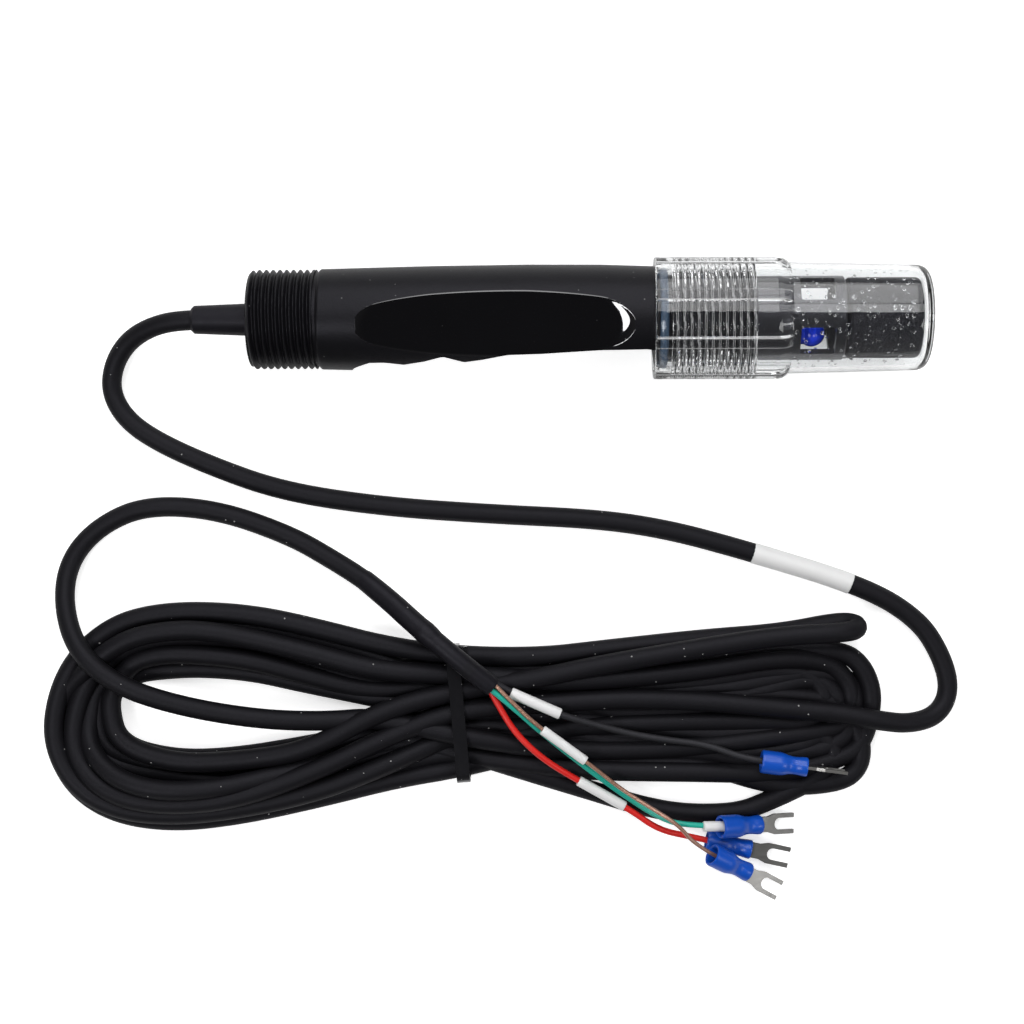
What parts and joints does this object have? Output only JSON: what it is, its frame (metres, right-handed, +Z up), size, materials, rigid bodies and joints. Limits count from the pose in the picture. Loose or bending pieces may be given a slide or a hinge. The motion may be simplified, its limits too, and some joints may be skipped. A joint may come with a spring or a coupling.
{
  "type": "ph electrode",
  "caption": "Black industrial pH electrode with a pipe thread at each end, a clear ribbed storage cap, and a tied hank of cable whose leads end in fork terminals.",
  "frame": {"origin": "on the surface that the probe rests on, under the middle of the probe without its cable", "axes": "+X along the probe from the rear thread to the cap, +Z up, the cable hank lies on the -Y side"},
  "size_m": [0.2492, 0.1733, 0.034],
  "materials": {
    "moulded_black": "fine grained matt moulding with a glossy scoop",
    "clear_cap": "clear polystyrene moulding with droplets inside",
    "pale_ceramic": "porous matt",
    "blue_glass": "thin clear blue glass",
    "silver": "drawn wire",
    "stainless": "satin",
    "epoxy": "cast, glossy",
    "wire_red": "extruded insulation",
    "wire_green": "extruded insulation",
    "wire_copper": "clear insulation over fine copper strands",
    "wire_black": "extruded insulation",
    "o_ring_rubber": "moulded rubber",
    "sponge_foam": "open cell foam",
    "cable_jacket": "matt extruded jacket",
    "heat_shrink": "shrunk sleeve",
    "tie_nylon": "moulded nylon",
    "marker_white": "white marker tube, left bare",
    "terminal_blue": "moulded vinyl sleeve",
    "tinned_copper": "tin plated, stamped"
  },
  "bodies": {
    "probe": {"housing": "moulded_black", "sensor_guard": "moulded_black", "reference_junction": "pale_ceramic", "stem_support": "epoxy", "glass_electrode": "blue_glass", "silver_wire": "silver", "temperature_probe": "stainless", "potting_plug": "epoxy", "measuring_lead": "wire_red", "temperature_lead": "wire_black", "o_ring": "o_ring_rubber", "cable_boot": "heat_shrink", "cable": "cable_jacket", "cable_end": "cable_jacket", "hank": "cable_jacket", "end_shrink": "heat_shrink", "cable_marker": "marker_white", "cable_tie": "tie_nylon", "lead_red": "wire_red", "marker_red": "marker_white", "sleeve_red": "terminal_blue", "fork_red": "tinned_copper", "lead_green": "wire_green", "marker_green": "marker_white", "sleeve_green": "terminal_blue", "fork_green": "tinned_copper", "lead_copper": "wire_copper", "marker_copper": "marker_white", "sleeve_copper": "terminal_blue", "fork_copper": "tinned_copper", "lead_black": "wire_black", "marker_black": "marker_white", "sleeve_black": "terminal_blue", "fork_black": "tinned_copper"},
    "sponge": {"wetting_sponge": "sponge_foam"},
    "cap": {"storage_cap": "clear_cap"}
  },
  "joints": [
    {"name": "cap_slide", "type": "slide", "parent": "probe", "child": "sponge", "axis": [0.9995, 0, 0.0311], "range_m": [0, 0.065]},
    {"name": "cap_turn", "type": "hinge", "parent": "sponge", "child": "cap", "pos_m": [0.0505, 0, 0.01753], "axis": [0.9995, 0, 0.0311], "continuous": true}
  ]
}
